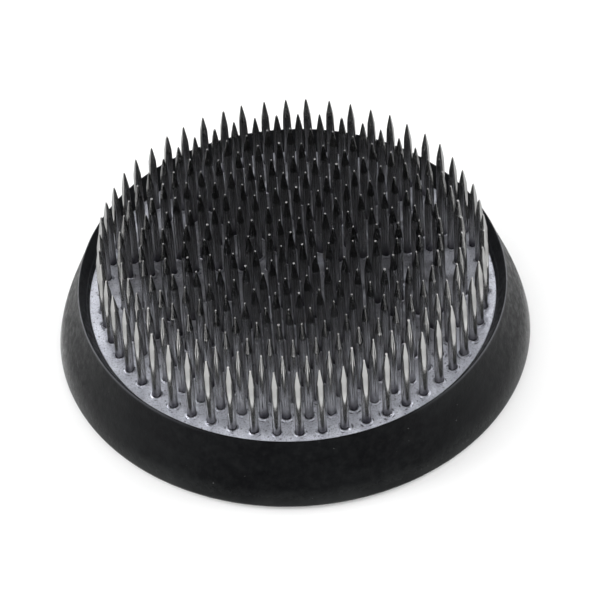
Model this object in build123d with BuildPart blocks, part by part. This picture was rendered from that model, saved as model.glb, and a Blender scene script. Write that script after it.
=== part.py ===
"""Round flower frog (kenzan): a cast lead plate full of steel needles, sitting in a rubber guard.

Millimetres, +Z up. The origin is the centre of the underside of the rubber guard.
"""
import os
from math import pi

from build123d import *

# Rubber guard, outside
overall_diameter = 71.0
guard_height = 11.3
rim_diameter = 64.4
flank_bulge = 0.15
foot_rounding = 0.8
lip_width = 0.25
lip_rounding = 0.1

# Rubber guard, inside: a floor ring that the plate rests on, a bore and a sloping upper wall
floor_thickness = 1.6
floor_opening_diameter = 46.0
floor_edge_rounding = 0.4
seat_clearance = 0.1

# Cast lead plate
plate_diameter = 61.0
plate_thickness = 7.0
plate_edge_chamfer = 0.15
wall_above_plate = 0.15

# Needles: rings of 6, 12, 18 ... around one in the middle, every second ring turned by half a pitch
ring_count = 9
needles_per_ring_step = 6
ring_spacing = 3.16
needle_diameter = 1.32
exposed_length = 12.9
embedded_length = 5.0
taper_length = 5.2
taper_start_diameter = 1.16
point_length = 2.8
tip_diameter = 0.2
end_chamfer = 0.2

# The small ridge of lead that rises round each needle where it was cast in
collar_diameter = 2.0
collar_top_diameter = 1.56
collar_height = 0.3

plate_bottom = floor_thickness
plate_top = plate_bottom + plate_thickness
tip_height = plate_top + exposed_length
bore_radius = plate_diameter / 2 + seat_clearance

os.makedirs("parts", exist_ok=True)


def save(part, name):
    """Label a finished piece and write it as its own STEP file."""
    part.label = name
    export_step(part, f"parts/{name}.step")


def ring_angles(ring):
    """Polar angles of the needles in one ring, in degrees from +X."""
    count = needles_per_ring_step * ring
    pitch = 360 / count
    half_turn = pitch / 2 if ring % 2 else 0
    return [90 + half_turn + i * pitch for i in range(count)]


def ring_locations(ring, height):
    """Where the needles of one ring stand, on the level given."""
    if ring == 0:
        return Locations((0, 0, height))
    radius = ring * ring_spacing
    spots = [Vector(radius, 0, height).rotate(Axis.Z, angle) for angle in ring_angles(ring)]
    return Locations(*spots)


# Rubber guard: one ring of rubber, revolved
with BuildPart() as rubber_guard:
    with BuildSketch(Plane.XZ) as guard_section:
        with BuildLine():
            foot = (overall_diameter / 2, foot_rounding)
            rim_outer = (rim_diameter / 2, guard_height)
            Polyline(
                rim_outer,
                (rim_diameter / 2 - lip_width, guard_height),
                (bore_radius, plate_top + wall_above_plate),
                (bore_radius, floor_thickness),
                (floor_opening_diameter / 2, floor_thickness),
                (floor_opening_diameter / 2, 0),
                (overall_diameter / 2 - foot_rounding, 0),
            )
            RadiusArc((overall_diameter / 2 - foot_rounding, 0), foot, -foot_rounding)
            SagittaArc(foot, rim_outer, -flank_bulge)
        make_face()
        fillet(guard_section.vertices().group_by(Axis.Y)[-1], lip_rounding)
        fillet(guard_section.vertices().group_by(Axis.X)[0], floor_edge_rounding)
    revolve(axis=Axis.Z)
save(rubber_guard.part, "rubber_guard")


# Lead plate: a disc with a raised collar and a blind hole for every needle
with BuildPart() as lead_base:
    with BuildSketch(Plane.XY.offset(plate_bottom)):
        Circle(plate_diameter / 2)
    extrude(amount=plate_thickness)
    chamfer(lead_base.edges().filter_by(GeomType.CIRCLE), plate_edge_chamfer)
    for ring in range(ring_count + 1):
        with ring_locations(ring, plate_top):
            Cone(
                collar_diameter / 2,
                collar_top_diameter / 2,
                collar_height,
                align=(Align.CENTER, Align.CENTER, Align.MIN),
            )
    for ring in range(ring_count + 1):
        with ring_locations(ring, plate_top - embedded_length):
            Cylinder(
                needle_diameter / 2,
                embedded_length + collar_height,
                align=(Align.CENTER, Align.CENTER, Align.MIN),
                mode=Mode.SUBTRACT,
            )
save(lead_base.part, "lead_base")


# One needle: a round shank with a chamfered root, a long taper and a ground point
with BuildPart() as needle:
    with BuildSketch(Plane.XZ):
        with BuildLine():
            root = plate_top - embedded_length
            Polyline(
                (0, root),
                (needle_diameter / 2 - end_chamfer, root),
                (needle_diameter / 2, root + end_chamfer),
                (needle_diameter / 2, tip_height - taper_length),
                (taper_start_diameter / 2, tip_height - point_length),
                (tip_diameter / 2, tip_height),
                (0, tip_height),
                close=True,
            )
        make_face()
    revolve(axis=Axis.Z)


# Each ring of needles is one group of separate solids
for ring in range(ring_count + 1):
    with BuildPart() as needle_ring:
        with ring_locations(ring, 0):
            add(needle.part)
    name = f"needle_ring_{ring}" if ring else "centre_needle"
    save(needle_ring.part, name)


needle_total = 1 + sum(needles_per_ring_step * ring for ring in range(1, ring_count + 1))
pitch_along_ring = 2 * pi * ring_spacing / needles_per_ring_step
print(f"{needle_total} needles, {pitch_along_ring:.2f} mm apart along a ring, tips at {tip_height:.2f} mm")
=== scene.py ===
"""Flower frog (kenzan): a cast lead plate full of steel needles in a black rubber guard.

Metres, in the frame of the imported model: +Z up, the origin under the middle of the guard.
"""

import math

import bmesh
import bpy
import numpy as np
from mathutils import Matrix, Vector, noise


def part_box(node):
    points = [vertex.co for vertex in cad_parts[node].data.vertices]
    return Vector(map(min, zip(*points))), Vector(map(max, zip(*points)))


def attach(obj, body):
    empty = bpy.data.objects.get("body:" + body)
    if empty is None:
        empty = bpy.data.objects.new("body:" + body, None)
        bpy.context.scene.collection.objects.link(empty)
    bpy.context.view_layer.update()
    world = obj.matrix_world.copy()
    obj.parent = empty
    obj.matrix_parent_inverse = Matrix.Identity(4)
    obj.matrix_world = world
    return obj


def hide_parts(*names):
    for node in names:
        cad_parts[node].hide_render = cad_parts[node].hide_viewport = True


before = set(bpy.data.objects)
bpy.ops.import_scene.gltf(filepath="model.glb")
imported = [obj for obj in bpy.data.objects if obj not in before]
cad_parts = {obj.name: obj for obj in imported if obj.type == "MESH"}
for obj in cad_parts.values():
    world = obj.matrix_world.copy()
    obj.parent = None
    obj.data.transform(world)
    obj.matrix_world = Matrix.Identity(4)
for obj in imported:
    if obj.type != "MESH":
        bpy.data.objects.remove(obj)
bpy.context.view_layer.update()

MM = 0.001
RING_COUNT = 9
NEEDLES_PER_STEP = 6

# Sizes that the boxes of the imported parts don't tell
COLLAR_HEIGHT = 0.3 * MM
RING_SPACING = 3.16 * MM
RIM_RADIUS = 32.2 * MM
FLOOR_OPENING = 23.0 * MM

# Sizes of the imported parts. The visual foot is a trace smaller, to keep the guard's sway inside the box.
guard_low, guard_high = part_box("rubber_guard")
lead_low, lead_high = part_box("lead_base")
needle_low, needle_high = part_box("centre_needle")
FOOT_RADIUS = guard_high.x - 0.02 * MM
GUARD_HEIGHT = guard_high.z
PLATE_RADIUS = lead_high.x
PLATE_BOTTOM = lead_low.z
PLATE_TOP = lead_high.z - COLLAR_HEIGHT
NEEDLE_RADIUS = needle_high.x
NEEDLE_ROOT = needle_low.z
NEEDLE_TIP = needle_high.z

# The pattern of needles stands a little to one side of the plate's centre
PATTERN_OFFSET = np.array([0.25, 0.0]) * MM


# ---------------------------------------------------------------- mesh helpers

def make_piece(name, points, faces, material, body, nodes):
    """A smooth-shaded mesh object that rides on a body and stands for the CAD nodes named."""
    mesh = bpy.data.meshes.new(name)
    mesh.from_pydata([tuple(p) for p in points], [], [tuple(f) for f in faces])
    mesh.validate()
    mesh.shade_smooth()
    mesh.materials.append(material)
    piece = bpy.data.objects.new(name, mesh)
    bpy.context.scene.collection.objects.link(piece)
    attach(piece, body)
    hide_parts(*nodes)
    return piece


def ring_faces(first, second, count):
    """Quads between two closed loops of vertices with the same count, given their first indices."""
    here = np.arange(count)
    after = (here + 1) % count
    return np.stack([first + here, first + after, second + after, second + here], 1)


def arc(centre, radius, start, end, steps):
    """Points on an arc, angles in degrees, both ends included."""
    angles = np.radians(np.linspace(start, end, steps + 1))
    return [(centre[0] + radius * math.cos(a), centre[1] + radius * math.sin(a)) for a in angles]


def run(start, end, steps):
    """Points strictly between two points of an outline, evenly spaced."""
    start, end = np.array(start), np.array(end)
    return [tuple(start + (end - start) * i / steps) for i in range(1, steps)]


def bend(start, corner, end, steps):
    """Points on a smooth bend that rounds off a corner, both ends included."""
    start, corner, end = np.array(start), np.array(corner), np.array(end)
    points = []
    for t in np.linspace(0, 1, steps + 1):
        first = (1 - t) * start + t * corner
        second = (1 - t) * corner + t * end
        points.append(tuple((1 - t) * first + t * second))
    return points


# ---------------------------------------------------------------- material helpers

def new_material(name):
    """A new material, with its node tree and its Principled shader."""
    material = bpy.data.materials.new(name)
    material.use_nodes = True
    tree = material.node_tree
    return material, tree, tree.nodes["Principled BSDF"]


def add_node(tree, kind, **values):
    """A node of that kind, with its properties and inputs set by name."""
    node = tree.nodes.new(kind)
    for key, value in values.items():
        if hasattr(node, key):
            setattr(node, key, value)
        else:
            node.inputs[key.replace("_", " ")].default_value = value
    return node


def height_above_table(tree):
    """Height above the table, with the object at rest."""
    place = add_node(tree, "ShaderNodeTexCoord")
    split = add_node(tree, "ShaderNodeSeparateXYZ")
    tree.links.new(place.outputs["Object"], split.inputs[0])
    return split.outputs["Z"]


def from_axis(tree, x=0.0, y=0.0):
    """Distance from the upright line through x, y."""
    place = add_node(tree, "ShaderNodeTexCoord")
    flat = add_node(tree, "ShaderNodeVectorMath", operation="MULTIPLY_ADD")
    flat.inputs[1].default_value = (1, 1, 0)
    flat.inputs[2].default_value = (-x, -y, 0)
    tree.links.new(place.outputs["Object"], flat.inputs[0])
    radius = add_node(tree, "ShaderNodeVectorMath", operation="LENGTH")
    tree.links.new(flat.outputs[0], radius.inputs[0])
    return radius.outputs["Value"]


def stretched_noise(tree, scale, stretch=(1, 1, 1), detail=3.0, rough=0.55):
    """Noise in object space. scale is in features per metre; stretch multiplies it along each axis."""
    place = add_node(tree, "ShaderNodeTexCoord")
    mapping = add_node(tree, "ShaderNodeMapping")
    mapping.inputs["Scale"].default_value = [scale * s for s in stretch]
    tree.links.new(place.outputs["Object"], mapping.inputs["Vector"])
    texture = add_node(tree, "ShaderNodeTexNoise", Scale=1.0, Detail=detail, Roughness=rough)
    tree.links.new(mapping.outputs["Vector"], texture.inputs["Vector"])
    return texture.outputs["Fac"]


def scattered_dots(tree, spacing, share):
    """1 in round dots, one in that share of the cells and about 0.4 of the spacing wide, and 0 elsewhere."""
    place = add_node(tree, "ShaderNodeTexCoord")
    texture = add_node(tree, "ShaderNodeTexVoronoi", Scale=1 / spacing)
    tree.links.new(place.outputs["Object"], texture.inputs["Vector"])
    dot = remap(tree, texture.outputs["Distance"], 0.12, 0.26, 1, 0)
    chosen = remap(tree, texture.outputs["Color"], 1 - share - 0.04, 1 - share + 0.04, 0, 1)
    return times(tree, dot, chosen)


def remap(tree, source, low, high, to_low, to_high):
    """source spread from low..high to to_low..to_high, clamped."""
    node = add_node(tree, "ShaderNodeMapRange")
    for name, value in zip(("From Min", "From Max", "To Min", "To Max"), (low, high, to_low, to_high)):
        node.inputs[name].default_value = value
    tree.links.new(source, node.inputs["Value"])
    return node.outputs["Result"]


def two_colours(tree, share, first, second):
    """A colour between two plain colours, by share."""
    node = tree.nodes.new("ShaderNodeMix")
    node.data_type = "RGBA"
    node.inputs["A"].default_value = (*first, 1)
    node.inputs["B"].default_value = (*second, 1)
    tree.links.new(share, node.inputs["Factor"])
    return node.outputs["Result"]


def blend(tree, share, first, second):
    """A colour source that goes over to a plain colour, by share."""
    node = tree.nodes.new("ShaderNodeMix")
    node.data_type = "RGBA"
    tree.links.new(share, node.inputs["Factor"])
    tree.links.new(first, node.inputs["A"])
    node.inputs["B"].default_value = (*second, 1)
    return node.outputs["Result"]


def times(tree, first, second):
    """The product of two numbers."""
    node = add_node(tree, "ShaderNodeMath", operation="MULTIPLY")
    tree.links.new(first, node.inputs[0])
    tree.links.new(second, node.inputs[1])
    return node.outputs[0]


def bumps(tree, shader, layers):
    """Chains bump nodes. Each layer is (height source, depth in metres, strength)."""
    normal = None
    for source, depth, strength in layers:
        node = add_node(tree, "ShaderNodeBump", Strength=strength, Distance=depth)
        tree.links.new(source, node.inputs["Height"])
        if normal:
            tree.links.new(normal, node.inputs["Normal"])
        normal = node.outputs["Normal"]
    tree.links.new(normal, shader.inputs["Normal"])


# ---------------------------------------------------------------- rubber

RUBBER_BLACK = (0.0014, 0.0016, 0.0020)
RUBBER_SMEARED = (0.0050, 0.0056, 0.0060)
RUBBER_GREYED = (0.018, 0.019, 0.019)
RUBBER_HIGHLIGHT_PALE = (0.075, 0.077, 0.085)
DUST = (0.10, 0.10, 0.10)


def rubber_material():
    """Black moulded rubber: satin, finely grained and faintly smeared, with a few specks of dust.

    It is greyer and glossier low down. A value stored on the mesh paints a highlight along the rim's outer
    edge at two sides, and makes the inside faintly paler.
    """
    material, tree, shader = new_material("black_rubber")
    smears = stretched_noise(tree, 110, (1, 1, 2.2), detail=6, rough=0.65)
    mottle = stretched_noise(tree, 900, detail=5, rough=0.7)
    grain = stretched_noise(tree, 5200, detail=2)
    ripples = stretched_noise(tree, 420, (1, 1, 0.6), detail=3)
    dust = stretched_noise(tree, 2300, detail=1)
    z = height_above_table(tree)
    colour = two_colours(tree, remap(tree, smears, 0.40, 0.75, 0, 1), RUBBER_BLACK, RUBBER_SMEARED)
    # Greyer towards the bottom, in patches
    low_down = remap(tree, z, 0.8 * MM, 3.6 * MM, 0.9, 0.0)
    greyer_low = times(tree, low_down, remap(tree, smears, 0.3, 0.65, 0.25, 1.0))
    colour = blend(tree, greyer_low, colour, RUBBER_GREYED)
    colour = blend(tree, remap(tree, mottle, 0.45, 0.75, 0, 0.25), colour, RUBBER_GREYED)
    # Painted highlight on the rim's outer edge at the left and right, and a faint paling inside, from a
    # value on the mesh
    edges = add_node(tree, "ShaderNodeAttribute", attribute_name="rim_highlight_inside_pale")
    rim_highlight_inside_pale = times(tree, edges.outputs["Fac"], remap(tree, smears, 0.3, 0.6, 0.6, 1.0))
    colour = blend(tree, rim_highlight_inside_pale, colour, RUBBER_HIGHLIGHT_PALE)
    colour = blend(tree, remap(tree, dust, 0.80, 0.84, 0, 0.8), colour, DUST)
    tree.links.new(colour, shader.inputs["Base Color"])
    roughness = remap(tree, z, 1.0 * MM, 5.5 * MM, 0.19, 0.50)
    roughness = times(tree, roughness, remap(tree, mottle, 0.3, 0.7, 0.68, 1.32))
    tree.links.new(roughness, shader.inputs["Roughness"])
    shader.inputs["Specular IOR Level"].default_value = 0.17
    shader.inputs["Specular Tint"].default_value = (0.09, 0.09, 0.09, 1)
    bumps(tree, shader, [(ripples, 0.06 * MM, 0.6), (mottle, 0.07 * MM, 0.8), (grain, 0.01 * MM, 0.5)])
    return material


# ---------------------------------------------------------------- lead

LEAD_GREY = (0.66, 0.68, 0.76)
LEAD_PALE = (0.83, 0.85, 0.94)
LEAD_GRAIN = (0.42, 0.43, 0.50)
LEAD_PIT = (0.12, 0.12, 0.16)
LEAD_INNER_SHADE = (0.13, 0.13, 0.142)
LEAD_COLLAR = (0.40, 0.40, 0.45)
LEAD_HOLLOW_SHADE = (0.06, 0.06, 0.075)


def lead_material():
    """Cast lead alloy: pale bluish grey, grainy and pitted, darker on the collars, with painted shade in the
    hollows.

    Among the inner needles it is painted darker as shade, with lighter patches.
    """
    material, tree, shader = new_material("cast_lead")
    stains = stretched_noise(tree, 260, detail=5)
    grain = stretched_noise(tree, 4200, detail=4, rough=0.65)
    lumps = stretched_noise(tree, 1900, detail=3)
    pits = scattered_dots(tree, 0.75 * MM, 0.45)
    lighter_patches = stretched_noise(tree, 200, detail=2)
    z = height_above_table(tree)
    colour = two_colours(tree, remap(tree, stains, 0.36, 0.66, 0, 1), LEAD_GREY, LEAD_PALE)
    colour = blend(tree, remap(tree, grain, 0.30, 0.62, 0.35, 0.0), colour, LEAD_GRAIN)
    colour = blend(tree, remap(tree, pits, 0, 1, 0, 0.7), colour, LEAD_PIT)
    # Painted shade among the needles, broken by lighter patches and fading out towards the edge, from
    # further in at the front
    inner = remap(tree, from_axis(tree, 0, 4 * MM), 24 * MM, 30.5 * MM, 0.84, 0.0)
    inner = times(tree, inner, remap(tree, lighter_patches, 0.50, 0.66, 1.0, 0.45))
    colour = blend(tree, inner, colour, LEAD_INNER_SHADE)
    raised = remap(tree, z, PLATE_TOP + 0.07 * MM, PLATE_TOP + 0.17 * MM, 0.0, 1.0)
    colour = blend(tree, remap(tree, raised, 0, 1, 0, 0.9), colour, LEAD_COLLAR)
    # Painted shade where the surface lies below the plate's level, in the grooves round the collars and the
    # low spots
    hollow_shade = remap(tree, z, PLATE_TOP - 0.09 * MM, PLATE_TOP - 0.04 * MM, 0.85, 0.0)
    colour = blend(tree, hollow_shade, colour, LEAD_HOLLOW_SHADE)
    tree.links.new(colour, shader.inputs["Base Color"])
    tree.links.new(remap(tree, raised, 0, 1, 0.35, 1.0), shader.inputs["Metallic"])
    tree.links.new(remap(tree, grain, 0.35, 0.7, 0.22, 0.46), shader.inputs["Roughness"])
    hollows = remap(tree, pits, 0, 1, 1, 0)
    bumps(tree, shader, [(lumps, 0.10 * MM, 0.8), (hollows, 0.04 * MM, 0.6), (grain, 0.03 * MM, 0.8)])
    return material


# ---------------------------------------------------------------- steel

STEEL_BRIGHT = (0.74, 0.74, 0.735)
STEEL_PATCH = (0.53, 0.53, 0.528)
STEEL_INNER_SHADE = (0.41, 0.41, 0.407)
STEEL_FOOT_DARK = (0.06, 0.055, 0.07)
STEEL_UPPER = (0.30, 0.30, 0.297)
STEEL_POINT_SHADE = (0.20, 0.20, 0.20)
STEEL_SEAM = (0.02, 0.02, 0.025)

# Distances from the axis between which the inner needles' look goes over into the outer rows' look
INNER_TO_OUTER = (24 * MM, 27 * MM)


def steel_material():
    """Drawn steel wire: mirror-like along fine lines that run up the needle, with duller patches.

    The foot is darker and has a dark seam against the lead. The upper part is darker, most of all in the
    outer rows.
    The inner needles are painted darker as shade, and their points are the darkest.
    """
    material, tree, shader = new_material("needle_steel")
    lines = stretched_noise(tree, 6500, (1, 1, 0.02), detail=3)
    patches = stretched_noise(tree, 700, (1, 1, 0.35), detail=4)
    z = height_above_table(tree)
    radius = from_axis(tree)
    colour = two_colours(tree, remap(tree, patches, 0.38, 0.7, 0, 1), STEEL_BRIGHT, STEEL_PATCH)
    # Painted shade on the inner needles. The needles at the front and at the far left keep their full
    # brightness
    inner_shade = remap(tree, from_axis(tree, 2 * MM, 14 * MM), 25 * MM, 33 * MM, 0.75, 0.0)
    colour = blend(tree, inner_shade, colour, STEEL_INNER_SHADE)
    # Darker at the foot, in patches
    foot = remap(tree, z, PLATE_TOP + 0.8 * MM, PLATE_TOP + 3.2 * MM, 0.92, 0.0)
    darker_foot = times(tree, foot, remap(tree, patches, 0.3, 0.6, 0.6, 1.0))
    colour = blend(tree, darker_foot, colour, STEEL_FOOT_DARK)
    high_up = remap(tree, z, NEEDLE_TIP - 8 * MM, NEEDLE_TIP - 4.5 * MM, 0.0, 0.9)
    high_up = times(tree, high_up, remap(tree, radius, *INNER_TO_OUTER, 0.35, 1.0))
    colour = blend(tree, high_up, colour, STEEL_UPPER)
    # Painted shade: the points of the inner needles are made the darkest
    points = remap(tree, z, NEEDLE_TIP - 3.1 * MM, NEEDLE_TIP - 2.7 * MM, 0.0, 0.95)
    points = times(tree, points, remap(tree, radius, *INNER_TO_OUTER, 1.0, 0.0))
    colour = blend(tree, points, colour, STEEL_POINT_SHADE)
    seam = remap(tree, z, PLATE_TOP + 0.22 * MM, PLATE_TOP + 0.5 * MM, 0.45, 0.0)
    seam = times(tree, seam, remap(tree, patches, 0.3, 0.6, 0.5, 1.0))
    colour = blend(tree, seam, colour, STEEL_SEAM)
    tree.links.new(colour, shader.inputs["Base Color"])
    bare = remap(tree, z, PLATE_TOP + 3 * MM, NEEDLE_TIP - 5.5 * MM, 0.96, 1.0)
    tree.links.new(bare, shader.inputs["Metallic"])
    shader.inputs["Specular Tint"].default_value = (0.45, 0.45, 0.45, 1)
    roughness = remap(tree, patches, 0.35, 0.75, 0.15, 0.27)
    smoother_point = remap(tree, z, NEEDLE_TIP - 3.6 * MM, NEEDLE_TIP - 2.8 * MM, 1.0, 0.65)
    rougher_shaft = remap(tree, z, NEEDLE_TIP - 9.5 * MM, NEEDLE_TIP - 4.5 * MM, 1.15, 1.0)
    roughness = times(tree, times(tree, roughness, smoother_point), rougher_shaft)
    tree.links.new(roughness, shader.inputs["Roughness"])
    drawn = times(tree, lines, remap(tree, z, NEEDLE_TIP - 8 * MM, NEEDLE_TIP - 5 * MM, 1.0, 0.25))
    bumps(tree, shader, [(drawn, 0.045 * MM, 0.9)])
    return material


# ---------------------------------------------------------------- rubber guard

GUARD_SEGMENTS = 384
FOOT_ROUNDING = 0.8 * MM
FLOOR_THICKNESS = PLATE_BOTTOM
EDGE_ROUNDING = 0.4 * MM
BORE_RADIUS = PLATE_RADIUS + 0.04 * MM
SEAT_CHAMFER = 0.2 * MM
WALL_ABOVE_PLATE = 0.15 * MM
LIP_ROUNDING = 0.1 * MM
LIP_FLAT = 0.06 * MM
FLANK_BULGE = 0.27 * MM
FLANK_STEPS = 30

# How far the rim is drawn oval, and how far it is higher at the back and lower at the front, with ripples
RIM_OVAL = 0.22 * MM
OVAL_RIPPLE = 0.02 * MM
RIM_LIFT = 0.30 * MM
LIFT_RIPPLE = 0.03 * MM

# How strongly the inside of the guard is made pale, against the painted highlight on the rim's outer edge
INSIDE_PALE = 0.10


def guard_outline():
    """The guard's section as (radius, height) points, anticlockwise from the floor opening."""
    lip_height = GUARD_HEIGHT - LIP_ROUNDING
    foot = (FOOT_RADIUS, FOOT_ROUNDING)
    rim = (RIM_RADIUS, lip_height)
    bulge_scale = 27 / 4  # 1 over the largest value of t (1 - t)^2
    wall_foot = (BORE_RADIUS, PLATE_TOP + WALL_ABOVE_PLATE)
    seat_wall = (BORE_RADIUS, FLOOR_THICKNESS + SEAT_CHAMFER)
    seat = (BORE_RADIUS - SEAT_CHAMFER, FLOOR_THICKNESS)
    opening = FLOOR_OPENING + EDGE_ROUNDING
    points = arc((opening, EDGE_ROUNDING), EDGE_ROUNDING, 180, 270, 5)
    points += run((opening, 0), (FOOT_RADIUS - FOOT_ROUNDING, 0), 20)
    points += arc((FOOT_RADIUS - FOOT_ROUNDING, FOOT_ROUNDING), FOOT_ROUNDING, -90, 0, 9)
    for i in range(1, FLANK_STEPS):
        t = i / FLANK_STEPS
        radius = foot[0] + (rim[0] - foot[0]) * t + FLANK_BULGE * bulge_scale * t * (1 - t) ** 2
        points.append((radius, foot[1] + (rim[1] - foot[1]) * t))
    points += arc((RIM_RADIUS - LIP_ROUNDING, lip_height), LIP_ROUNDING, 8, 90, 5)
    points += arc((RIM_RADIUS - LIP_ROUNDING - LIP_FLAT, lip_height), LIP_ROUNDING, 90, 150, 4)
    points += run(points[-1], wall_foot, 10) + [wall_foot]
    points += run(wall_foot, seat_wall, 10) + [seat_wall, seat]
    points += run(seat, (opening, FLOOR_THICKNESS), 14)
    points += arc((opening, FLOOR_THICKNESS - EDGE_ROUNDING), EDGE_ROUNDING, 90, 180, 5)
    return np.array(points)


def build_guard(material):
    """The rubber ring, turned from its section, with the slight unevenness of soft moulded rubber."""
    outline = guard_outline()
    angles = np.linspace(0, 2 * math.pi, GUARD_SEGMENTS, endpoint=False)
    points = []
    for radius, height in outline:
        clear_of_bore = 1.0 if radius > BORE_RADIUS + 0.3 * MM else 0.0
        level = height / GUARD_HEIGHT
        sway = -RIM_OVAL * level * np.cos(2 * angles) + OVAL_RIPPLE * level * np.sin(5 * angles + 2.1)
        lift = level ** 2 * (RIM_LIFT * np.sin(angles) + LIFT_RIPPLE * np.sin(3 * angles + 1.3))
        r = radius + clear_of_bore * sway
        z = np.full_like(angles, height) + clear_of_bore * lift
        points.append(np.stack([r * np.cos(angles), r * np.sin(angles), z], 1))
    loops = len(outline)
    faces = [
        ring_faces(i * GUARD_SEGMENTS, (i + 1) % loops * GUARD_SEGMENTS, GUARD_SEGMENTS)
        for i in range(loops)
    ]
    piece = make_piece(
        "guard_ring", np.concatenate(points), np.concatenate(faces), material,
        "guard", ["rubber_guard"],
    )
    mark_highlight_and_pale(piece, outline, angles)
    return piece


def mark_highlight_and_pale(piece, outline, angles):
    """Marks how pale each point is made: a painted highlight on the rim's outer edge at two sides, and a
    faint paling inside.
    """
    radius, height = outline.T
    at_edge = (radius > RIM_RADIUS - LIP_ROUNDING) & (height > GUARD_HEIGHT - 1.2 * LIP_ROUNDING)
    inside = np.arange(len(outline)) > np.flatnonzero(at_edge)[-1]
    # The painted highlight is strongest at the left and right, and gone at the front and back
    at_sides = np.clip(1.35 * np.abs(np.cos(angles)) ** 1.5 - 0.35, 0, 1)
    amount = np.outer(at_edge, at_sides) + INSIDE_PALE * inside[:, None]
    rim_highlight_inside_pale = piece.data.attributes.new("rim_highlight_inside_pale", "FLOAT", "POINT")
    rim_highlight_inside_pale.data.foreach_set("value", amount.ravel())


# ---------------------------------------------------------------- where the needles stand

def ring_angles(ring):
    """Angles of a ring's needles from +X. Odd rings are turned by half a pitch."""
    count = NEEDLES_PER_STEP * ring
    pitch = 2 * math.pi / count
    return math.pi / 2 + (pitch / 2 if ring % 2 else 0) + pitch * np.arange(count)


def needle_spots(ring):
    """(x, y) of each needle of a ring."""
    if ring == 0:
        return PATTERN_OFFSET[None, :]
    angles = ring_angles(ring)
    return PATTERN_OFFSET + ring * RING_SPACING * np.stack([np.cos(angles), np.sin(angles)], 1)


# ---------------------------------------------------------------- lead plate

# The surface is a cell of lead round each needle, with bands twice BAND wide between the rings of cells
CELL_SIDE_STEPS = 8
BAND = 0.04 * MM
HOLE_RADIUS = NEEDLE_RADIUS + 0.005 * MM

# Loops of points round a needle, in mm from its hole, and where a collar's crest lies in its width
COLLAR_STEPS = (0, 0.03, 0.06, 0.10, 0.15, 0.20, 0.26, 0.32, 0.40, 0.50, 0.70)
COLLAR_LOOPS = [HOLE_RADIUS + step * MM for step in COLLAR_STEPS]
CREST_PLACE = 0.45
PLATE_EDGE = 0.15 * MM
WELD_DISTANCE = 0.002 * MM

# Unevenness of the plate's edge and side: its depth, and how close its waves are round and up the side
EDGE_WAVINESS = 0.05 * MM
SIDE_WAVINESS = 0.015 * MM
WAVES_ROUND = 14
WAVES_UP = 500

# The cast surface's unevenness, in layers of (waves per metre, depth, seed)
SURFACE_LAYERS = ((90, 0.07 * MM, 3.1), (420, 0.045 * MM, 7.7), (1500, 0.022 * MM, 1.9))


def collar_shape(bearing, rng):
    """One collar's own crest height and groove depth at each bearing, and its width."""
    crest = COLLAR_HEIGHT * rng.uniform(0.65, 1.0)
    width = rng.uniform(0.17, 0.28) * MM
    lean = rng.uniform(0, 2 * math.pi)
    lobes = rng.integers(3, 6)
    uneven = crest * (
        0.85 + 0.22 * np.cos(bearing - lean) + 0.12 * np.cos(2 * bearing + 3 * lean)
        + 0.3 * np.cos(lobes * bearing + 5 * lean)
    )
    groove = 0.12 * MM * np.clip(np.cos(lobes * bearing + 2 * lean), 0, 1)
    return uneven, groove, width


def collar_profile(distance, crest, groove, width):
    """Height of a collar's ridge, less the groove outside it, at a distance from the needle's axis."""
    d = (distance - HOLE_RADIUS) / width
    rise = CREST_PLACE + (1 - CREST_PLACE) * np.sin(d / CREST_PLACE * math.pi / 2)
    fall = np.exp(-((d - CREST_PLACE) / 0.5) ** 2)
    ridge = np.where(d < CREST_PLACE, rise, fall)
    return crest * ridge - groove * np.exp(-((d - 1.5) / 0.4) ** 2)


def surface_height(places):
    """The cast surface's own unevenness, away from the collars."""
    return np.array([
        sum(
            depth * noise.noise(Vector((x * waves, y * waves, seed)))
            for waves, depth, seed in SURFACE_LAYERS
        )
        for x, y in places
    ])


def square_loop(steps):
    """Points round a square from -1 to 1, starting at its lower left corner, anticlockwise."""
    t = np.linspace(-1, 1, steps, endpoint=False)
    one = np.ones(steps)
    return np.concatenate([t, one, -t, -one]), np.concatenate([-one, t, one, -t])


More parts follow.
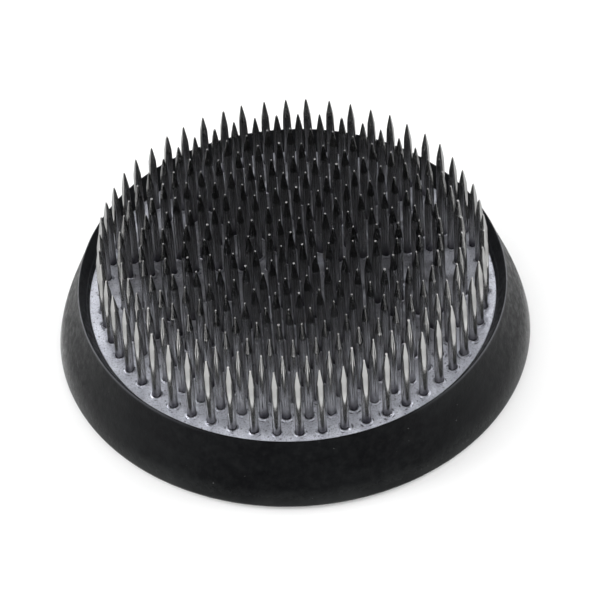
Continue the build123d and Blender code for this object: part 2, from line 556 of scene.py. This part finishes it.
class PlateMesh:
    """Collects the vertices and faces of the lead plate."""

    def __init__(self):
        self.points, self.faces, self.total = [], [], 0

    def add_points(self, points):
        """Adds points and returns the indices that they got."""
        first = self.total
        self.points.append(points)
        self.total += len(points)
        return first + np.arange(len(points))

    def bridge(self, inner, outer):
        """Quads between two closed loops of indices with the same count."""
        self.faces.append(np.stack([inner, outer, np.roll(outer, -1), np.roll(inner, -1)], 1))

    def cap(self, loop, middle):
        """Triangles from a closed loop of indices to one point."""
        centre = self.add_points(np.array([middle]))[0]
        self.faces.append(np.stack([loop, np.roll(loop, -1), np.full(len(loop), centre)], 1))

    def add_cell(self, centre, border, rng):
        """A cell from its border in to the needle's hole, with a collar. Returns the border's indices."""
        offsets = border - centre
        bearing = np.arctan2(offsets[:, 1], offsets[:, 0])
        collar = collar_shape(bearing, rng)
        direction = np.stack([np.cos(bearing), np.sin(bearing)], 1)
        rings = [centre + direction * radius for radius in COLLAR_LOOPS]
        rings += [(rings[-1] + border) / 2, border]
        loops = []
        for places in rings:
            distance = np.linalg.norm(places - centre, axis=1)
            height = PLATE_TOP + surface_height(places) + collar_profile(distance, *collar)
            loops.append(self.add_points(np.column_stack([places, height])))
        for inner, outer in zip(loops, loops[1:]):
            self.bridge(inner, outer)
        floor = self.add_points(np.column_stack([rings[0], np.full(len(border), NEEDLE_ROOT)]))
        self.bridge(floor, loops[0])
        self.cap(floor, (*centre, NEEDLE_ROOT))
        return loops[-1]

    def zip_loops(self, inner, outer):
        """Triangles between two closed loops with different counts, matched by angle."""
        points = np.concatenate(self.points)
        turns = []
        for loop in (inner, outer):
            loop = np.array(loop)
            angle = np.arctan2(points[loop, 1], points[loop, 0])
            order = np.argsort(angle)
            turns.append((loop[order], np.append(angle[order], angle[order][0] + 2 * math.pi)))
        (a, a_angle), (b, b_angle) = turns
        triangles = []
        i = j = 0
        while i < len(a) or j < len(b):
            if j == len(b) or (i < len(a) and a_angle[i + 1] <= b_angle[j + 1]):
                triangles.append((a[i], b[j % len(b)], a[(i + 1) % len(a)]))
                i += 1
            else:
                triangles.append((a[i % len(a)], b[j], b[(j + 1) % len(b)]))
                j += 1
        self.faces.append(np.array(triangles))

    def close_below(self, edge):
        """Carries the surface on from a loop: over the edge, down the side and across the underside."""
        points = np.concatenate(self.points)
        angle = np.arctan2(points[edge, 1], points[edge, 0])
        order = np.argsort(angle)
        edge, angle = np.array(edge)[order], angle[order]
        shoulder = arc((PLATE_RADIUS - PLATE_EDGE, PLATE_TOP - PLATE_EDGE), PLATE_EDGE, 90, 0, 5)
        side = run(shoulder[-1], (PLATE_RADIUS, PLATE_BOTTOM + PLATE_EDGE), 12)
        foot = arc((PLATE_RADIUS - PLATE_EDGE, PLATE_BOTTOM + PLATE_EDGE), PLATE_EDGE, 0, -90, 5)
        under = run(foot[-1], (2 * MM, PLATE_BOTTOM), 24)
        around = WAVES_ROUND * np.stack([np.cos(angle), np.sin(angle)], 1)
        for radius, height in shoulder + side + foot + under:
            wobble = np.array([noise.noise(Vector((x, y, height * WAVES_UP))) for x, y in around])
            lift = EDGE_WAVINESS * wobble if height > PLATE_BOTTOM + PLATE_EDGE else 0 * wobble
            r = radius - SIDE_WAVINESS * (1 + wobble)
            loop = self.add_points(np.column_stack([r * np.cos(angle), r * np.sin(angle), height + lift]))
            self.bridge(edge, loop)
            edge = loop
        self.cap(edge, (0, 0, PLATE_BOTTOM))


def build_plate(material):
    """The lead casting: a cell round every needle, the bands between rings, the edge and the underside."""
    rng = np.random.default_rng(11)
    plate = PlateMesh()
    half = RING_SPACING / 2
    turn = np.linspace(-math.pi, math.pi, 8 * CELL_SIDE_STEPS, endpoint=False)
    border = (half - BAND) * np.stack([np.cos(turn), np.sin(turn)], 1)
    edge = plate.add_cell(PATTERN_OFFSET, border + PATTERN_OFFSET, rng)
    u, v = square_loop(CELL_SIDE_STEPS)
    for ring in range(1, RING_COUNT + 1):
        radius = ring * RING_SPACING + v * (half - BAND)
        inner_side, outer_side = [], []
        for angle, centre in zip(ring_angles(ring), needle_spots(ring)):
            bearing = angle - u * math.pi / (NEEDLES_PER_STEP * ring)
            border = PATTERN_OFFSET + np.stack([radius * np.cos(bearing), radius * np.sin(bearing)], 1)
            loop = plate.add_cell(centre, border, rng)
            inner_side += list(loop[:CELL_SIDE_STEPS])
            outer_side += list(loop[2 * CELL_SIDE_STEPS:3 * CELL_SIDE_STEPS])
        plate.zip_loops(edge, inner_side)
        edge = outer_side
    plate.close_below(edge)
    faces = [face for block in plate.faces for face in block]
    piece = make_piece(
        "lead_plate", np.concatenate(plate.points), faces, material,
        "pin_plate", ["lead_base"],
    )
    weld(piece, WELD_DISTANCE)
    return piece


def weld(piece, distance):
    """Joins points that lie together, and turns every face outwards."""
    work = bmesh.new()
    work.from_mesh(piece.data)
    bmesh.ops.remove_doubles(work, verts=work.verts, dist=distance)
    bmesh.ops.recalc_face_normals(work, faces=work.faces)
    work.to_mesh(piece.data)
    work.free()


# ---------------------------------------------------------------- needles

NEEDLE_SEGMENTS = 28
POINT_LENGTH = 2.85 * MM
TAPER_LENGTH = 5.2 * MM
SHOULDER_RADIUS = 0.58 * MM
SHOULDER_SOFTNESS = 0.14 * MM
SHOULDER_STEP = 0.008 * MM
POINT_SWELL = 0.015 * MM
TIP_RADIUS = 0.11 * MM
ROOT_CHAMFER = 0.2 * MM

# How much the needles differ: blunting, length of the point, lean (sideways per length), height, thickness
TIP_WEAR = 0.08 * MM
POINT_SPREAD = 0.2 * MM
LEAN_SPREAD = 0.0075
LEAN_LIMIT = 0.018
DROP_SPREAD = 0.06 * MM
DROP_LIMIT = 0.25 * MM
LEAST_GIRTH = 0.985


def needle_outline(point_length, tip_radius):
    """A needle's section as (radius, height) points from its root to its tip."""
    shoulder = NEEDLE_TIP - point_length
    taper = NEEDLE_TIP - TAPER_LENGTH
    outline = [
        (NEEDLE_RADIUS - ROOT_CHAMFER, NEEDLE_ROOT),
        (NEEDLE_RADIUS, NEEDLE_ROOT + ROOT_CHAMFER),
        (NEEDLE_RADIUS, PLATE_TOP - 0.2 * MM),
    ]
    outline += run(outline[-1], (NEEDLE_RADIUS, taper), 5) + [(NEEDLE_RADIUS, taper)]
    below = (SHOULDER_RADIUS + SHOULDER_STEP, shoulder - SHOULDER_SOFTNESS)
    above = (SHOULDER_RADIUS * (1 - SHOULDER_SOFTNESS / point_length), shoulder + SHOULDER_SOFTNESS)
    outline += run(outline[-1], below, 4)
    outline += bend(below, (SHOULDER_RADIUS, shoulder), above, 4)
    dome_foot = (tip_radius, NEEDLE_TIP - 0.7 * tip_radius)
    for t in np.linspace(0, 1, 9)[1:]:
        radius = above[0] + (dome_foot[0] - above[0]) * t + POINT_SWELL * 4 * t * (1 - t)
        outline.append((radius, above[1] + (dome_foot[1] - above[1]) * t))
    outline.append((0.82 * tip_radius, NEEDLE_TIP - 0.3 * tip_radius))
    outline.append((0.5 * tip_radius, NEEDLE_TIP - 0.07 * tip_radius))
    return np.array(outline)


def build_needle(spot, rng):
    """Points and faces of one needle at its spot, with a trace of lean, wear and unequal length."""
    tip_radius = TIP_RADIUS + TIP_WEAR * rng.random() ** 4
    outline = needle_outline(POINT_LENGTH + rng.uniform(-POINT_SPREAD, POINT_SPREAD), tip_radius)
    lean = np.clip(rng.normal(0, LEAN_SPREAD, 2), -LEAN_LIMIT, LEAN_LIMIT)
    drop = min(abs(rng.normal(0, DROP_SPREAD)), DROP_LIMIT)
    girth = rng.uniform(LEAST_GIRTH, 1.0)
    start = rng.uniform(0, 2 * math.pi)
    angles = start + np.linspace(0, 2 * math.pi, NEEDLE_SEGMENTS, endpoint=False)
    heights = np.append(outline[:, 1], NEEDLE_TIP)
    radii = np.append(outline[:, 0] * girth, 0.0)
    radii[:3] = outline[:3, 0]  # the root fills its hole
    exposed = np.clip(heights - PLATE_TOP, 0, None)
    heights = heights - drop * exposed / (NEEDLE_TIP - PLATE_TOP)
    shift = exposed[:, None] * lean
    loops = []
    for radius, height, (dx, dy) in zip(radii[:-1], heights[:-1], shift[:-1]):
        x = spot[0] + dx + radius * np.cos(angles)
        y = spot[1] + dy + radius * np.sin(angles)
        loops.append(np.column_stack([x, y, np.full(NEEDLE_SEGMENTS, height)]))
    count = len(loops)
    ends = [[*spot, NEEDLE_ROOT], [*(spot + shift[-1]), heights[-1]]]
    faces = []
    for first in range(0, (count - 1) * NEEDLE_SEGMENTS, NEEDLE_SEGMENTS):
        faces += [tuple(face) for face in ring_faces(first, first + NEEDLE_SEGMENTS, NEEDLE_SEGMENTS)]
    root, tip = count * NEEDLE_SEGMENTS, count * NEEDLE_SEGMENTS + 1
    last = (count - 1) * NEEDLE_SEGMENTS
    for i in range(NEEDLE_SEGMENTS):
        after = (i + 1) % NEEDLE_SEGMENTS
        faces.append((after, i, root))
        faces.append((last + i, last + after, tip))
    return np.concatenate(loops + [np.array(ends)]), faces


def build_needles(material):
    """The needle in the middle and the nine rings, one piece for each ring."""
    rng = np.random.default_rng(5)
    for ring in range(RING_COUNT + 1):
        points, faces, total = [], [], 0
        for spot in needle_spots(ring):
            new_points, new_faces = build_needle(spot, rng)
            points.append(new_points)
            faces += [tuple(i + total for i in face) for face in new_faces]
            total += len(new_points)
        node = f"needle_ring_{ring}" if ring else "centre_needle"
        make_piece(
            f"steel_{node}", np.concatenate(points), faces, material,
            "pin_plate", [node],
        )


# ---------------------------------------------------------------- floor, lights and camera

FLOOR_REACH = 3.0
TABLE_WHITE = (0.86, 0.86, 0.86)
TABLE_WHITER = (0.88, 0.88, 0.88)
CAMERA_DISTANCE = 0.636
CAMERA_ELEVATION = math.radians(46.3)
CAMERA_TURN = math.radians(2.46)
CAMERA_ROLL = math.radians(-3.46)
CAMERA_LENS = 252.6
AIM_RIGHT = 0.74 * MM
AIM_UP = 4.87 * MM

# Strength of the light low down and overhead, and where it fades, as the sine of the height angle
LIGHT_BAND_POWER = 2.8
CEILING_POWER = 0.16
LIGHT_BAND_TOP = 0.48
LIGHT_BAND_END = 0.74


def add_floor():
    """A plain white table, much wider than the view."""
    signs = ((-1, -1), (1, -1), (1, 1), (-1, 1))
    mesh = bpy.data.meshes.new("floor")
    mesh.from_pydata([(x * FLOOR_REACH, y * FLOOR_REACH, 0) for x, y in signs], [], [(0, 1, 2, 3)])
    material, tree, shader = new_material("white_table")
    tone = remap(tree, stretched_noise(tree, 6, detail=2), 0.3, 0.7, 0, 1)
    colour = two_colours(tree, tone, TABLE_WHITE, TABLE_WHITER)
    tree.links.new(colour, shader.inputs["Base Color"])
    shader.inputs["Roughness"].default_value = 0.8
    mesh.materials.append(material)
    floor = bpy.data.objects.new("floor", mesh)
    bpy.context.scene.collection.objects.link(floor)


def add_light(name, place, size, power, target=(0, 0, 0.01)):
    """A soft rectangular light that faces the target."""
    light = bpy.data.lights.new(name, "AREA")
    light.shape = "RECTANGLE"
    light.size, light.size_y = size
    light.energy = power
    lamp = bpy.data.objects.new(name, light)
    lamp.location = place
    lamp.rotation_euler = (Vector(target) - Vector(place)).to_track_quat("-Z", "Y").to_euler()
    bpy.context.scene.collection.objects.link(lamp)


def add_lights():
    """Even white studio light from all sides, fading to a dim ceiling, and three softboxes.

    The light starts to fade about 29 degrees above the table, and has faded at about 48 degrees.
    """
    world = bpy.data.worlds.new("studio")
    world.use_nodes = True
    tree = world.node_tree
    direction = add_node(tree, "ShaderNodeTexCoord")
    split = add_node(tree, "ShaderNodeSeparateXYZ")
    tree.links.new(direction.outputs["Generated"], split.inputs[0])
    rise = split.outputs["Z"]
    strength = remap(tree, rise, LIGHT_BAND_TOP, LIGHT_BAND_END, LIGHT_BAND_POWER, CEILING_POWER)
    background = tree.nodes["Background"]
    background.inputs["Color"].default_value = (1, 1, 1, 1)
    tree.links.new(strength, background.inputs["Strength"])
    bpy.context.scene.world = world
    add_light("left_softbox", place=(-0.70, 0.12, 0.46), size=(0.6, 0.4), power=4.6)
    add_light("right_softbox", place=(0.70, 0.12, 0.46), size=(0.6, 0.4), power=3.4)
    add_light("back_softbox", place=(0.0, 0.56, 0.60), size=(0.45, 0.22), power=0.7)


def add_camera():
    """A long lens looking down at the object, turned and rolled as in the picture that it matches."""
    level = Vector((math.sin(CAMERA_TURN), math.cos(CAMERA_TURN), 0))
    forward = level * math.cos(CAMERA_ELEVATION) - Vector((0, 0, math.sin(CAMERA_ELEVATION)))
    place = -CAMERA_DISTANCE * forward
    right = forward.cross(Vector((0, 0, 1))).normalized()
    up = right.cross(forward)
    rolled_right = math.cos(CAMERA_ROLL) * right + math.sin(CAMERA_ROLL) * up
    rolled_up = math.cos(CAMERA_ROLL) * up - math.sin(CAMERA_ROLL) * right
    aim = (AIM_RIGHT * rolled_right + AIM_UP * rolled_up - place).normalized()
    side = aim.cross(rolled_up).normalized()
    top = side.cross(aim)
    data = bpy.data.cameras.new("camera")
    data.lens = CAMERA_LENS
    data.clip_end = 20
    camera = bpy.data.objects.new("camera", data)
    camera.matrix_world = Matrix.Translation(place) @ Matrix((side, top, -aim)).transposed().to_4x4()
    bpy.context.scene.collection.objects.link(camera)
    bpy.context.scene.camera = camera


build_guard(rubber_material())
build_plate(lead_material())
build_needles(steel_material())
add_floor()
add_lights()
add_camera()
bpy.context.scene.view_settings.view_transform = "Standard"
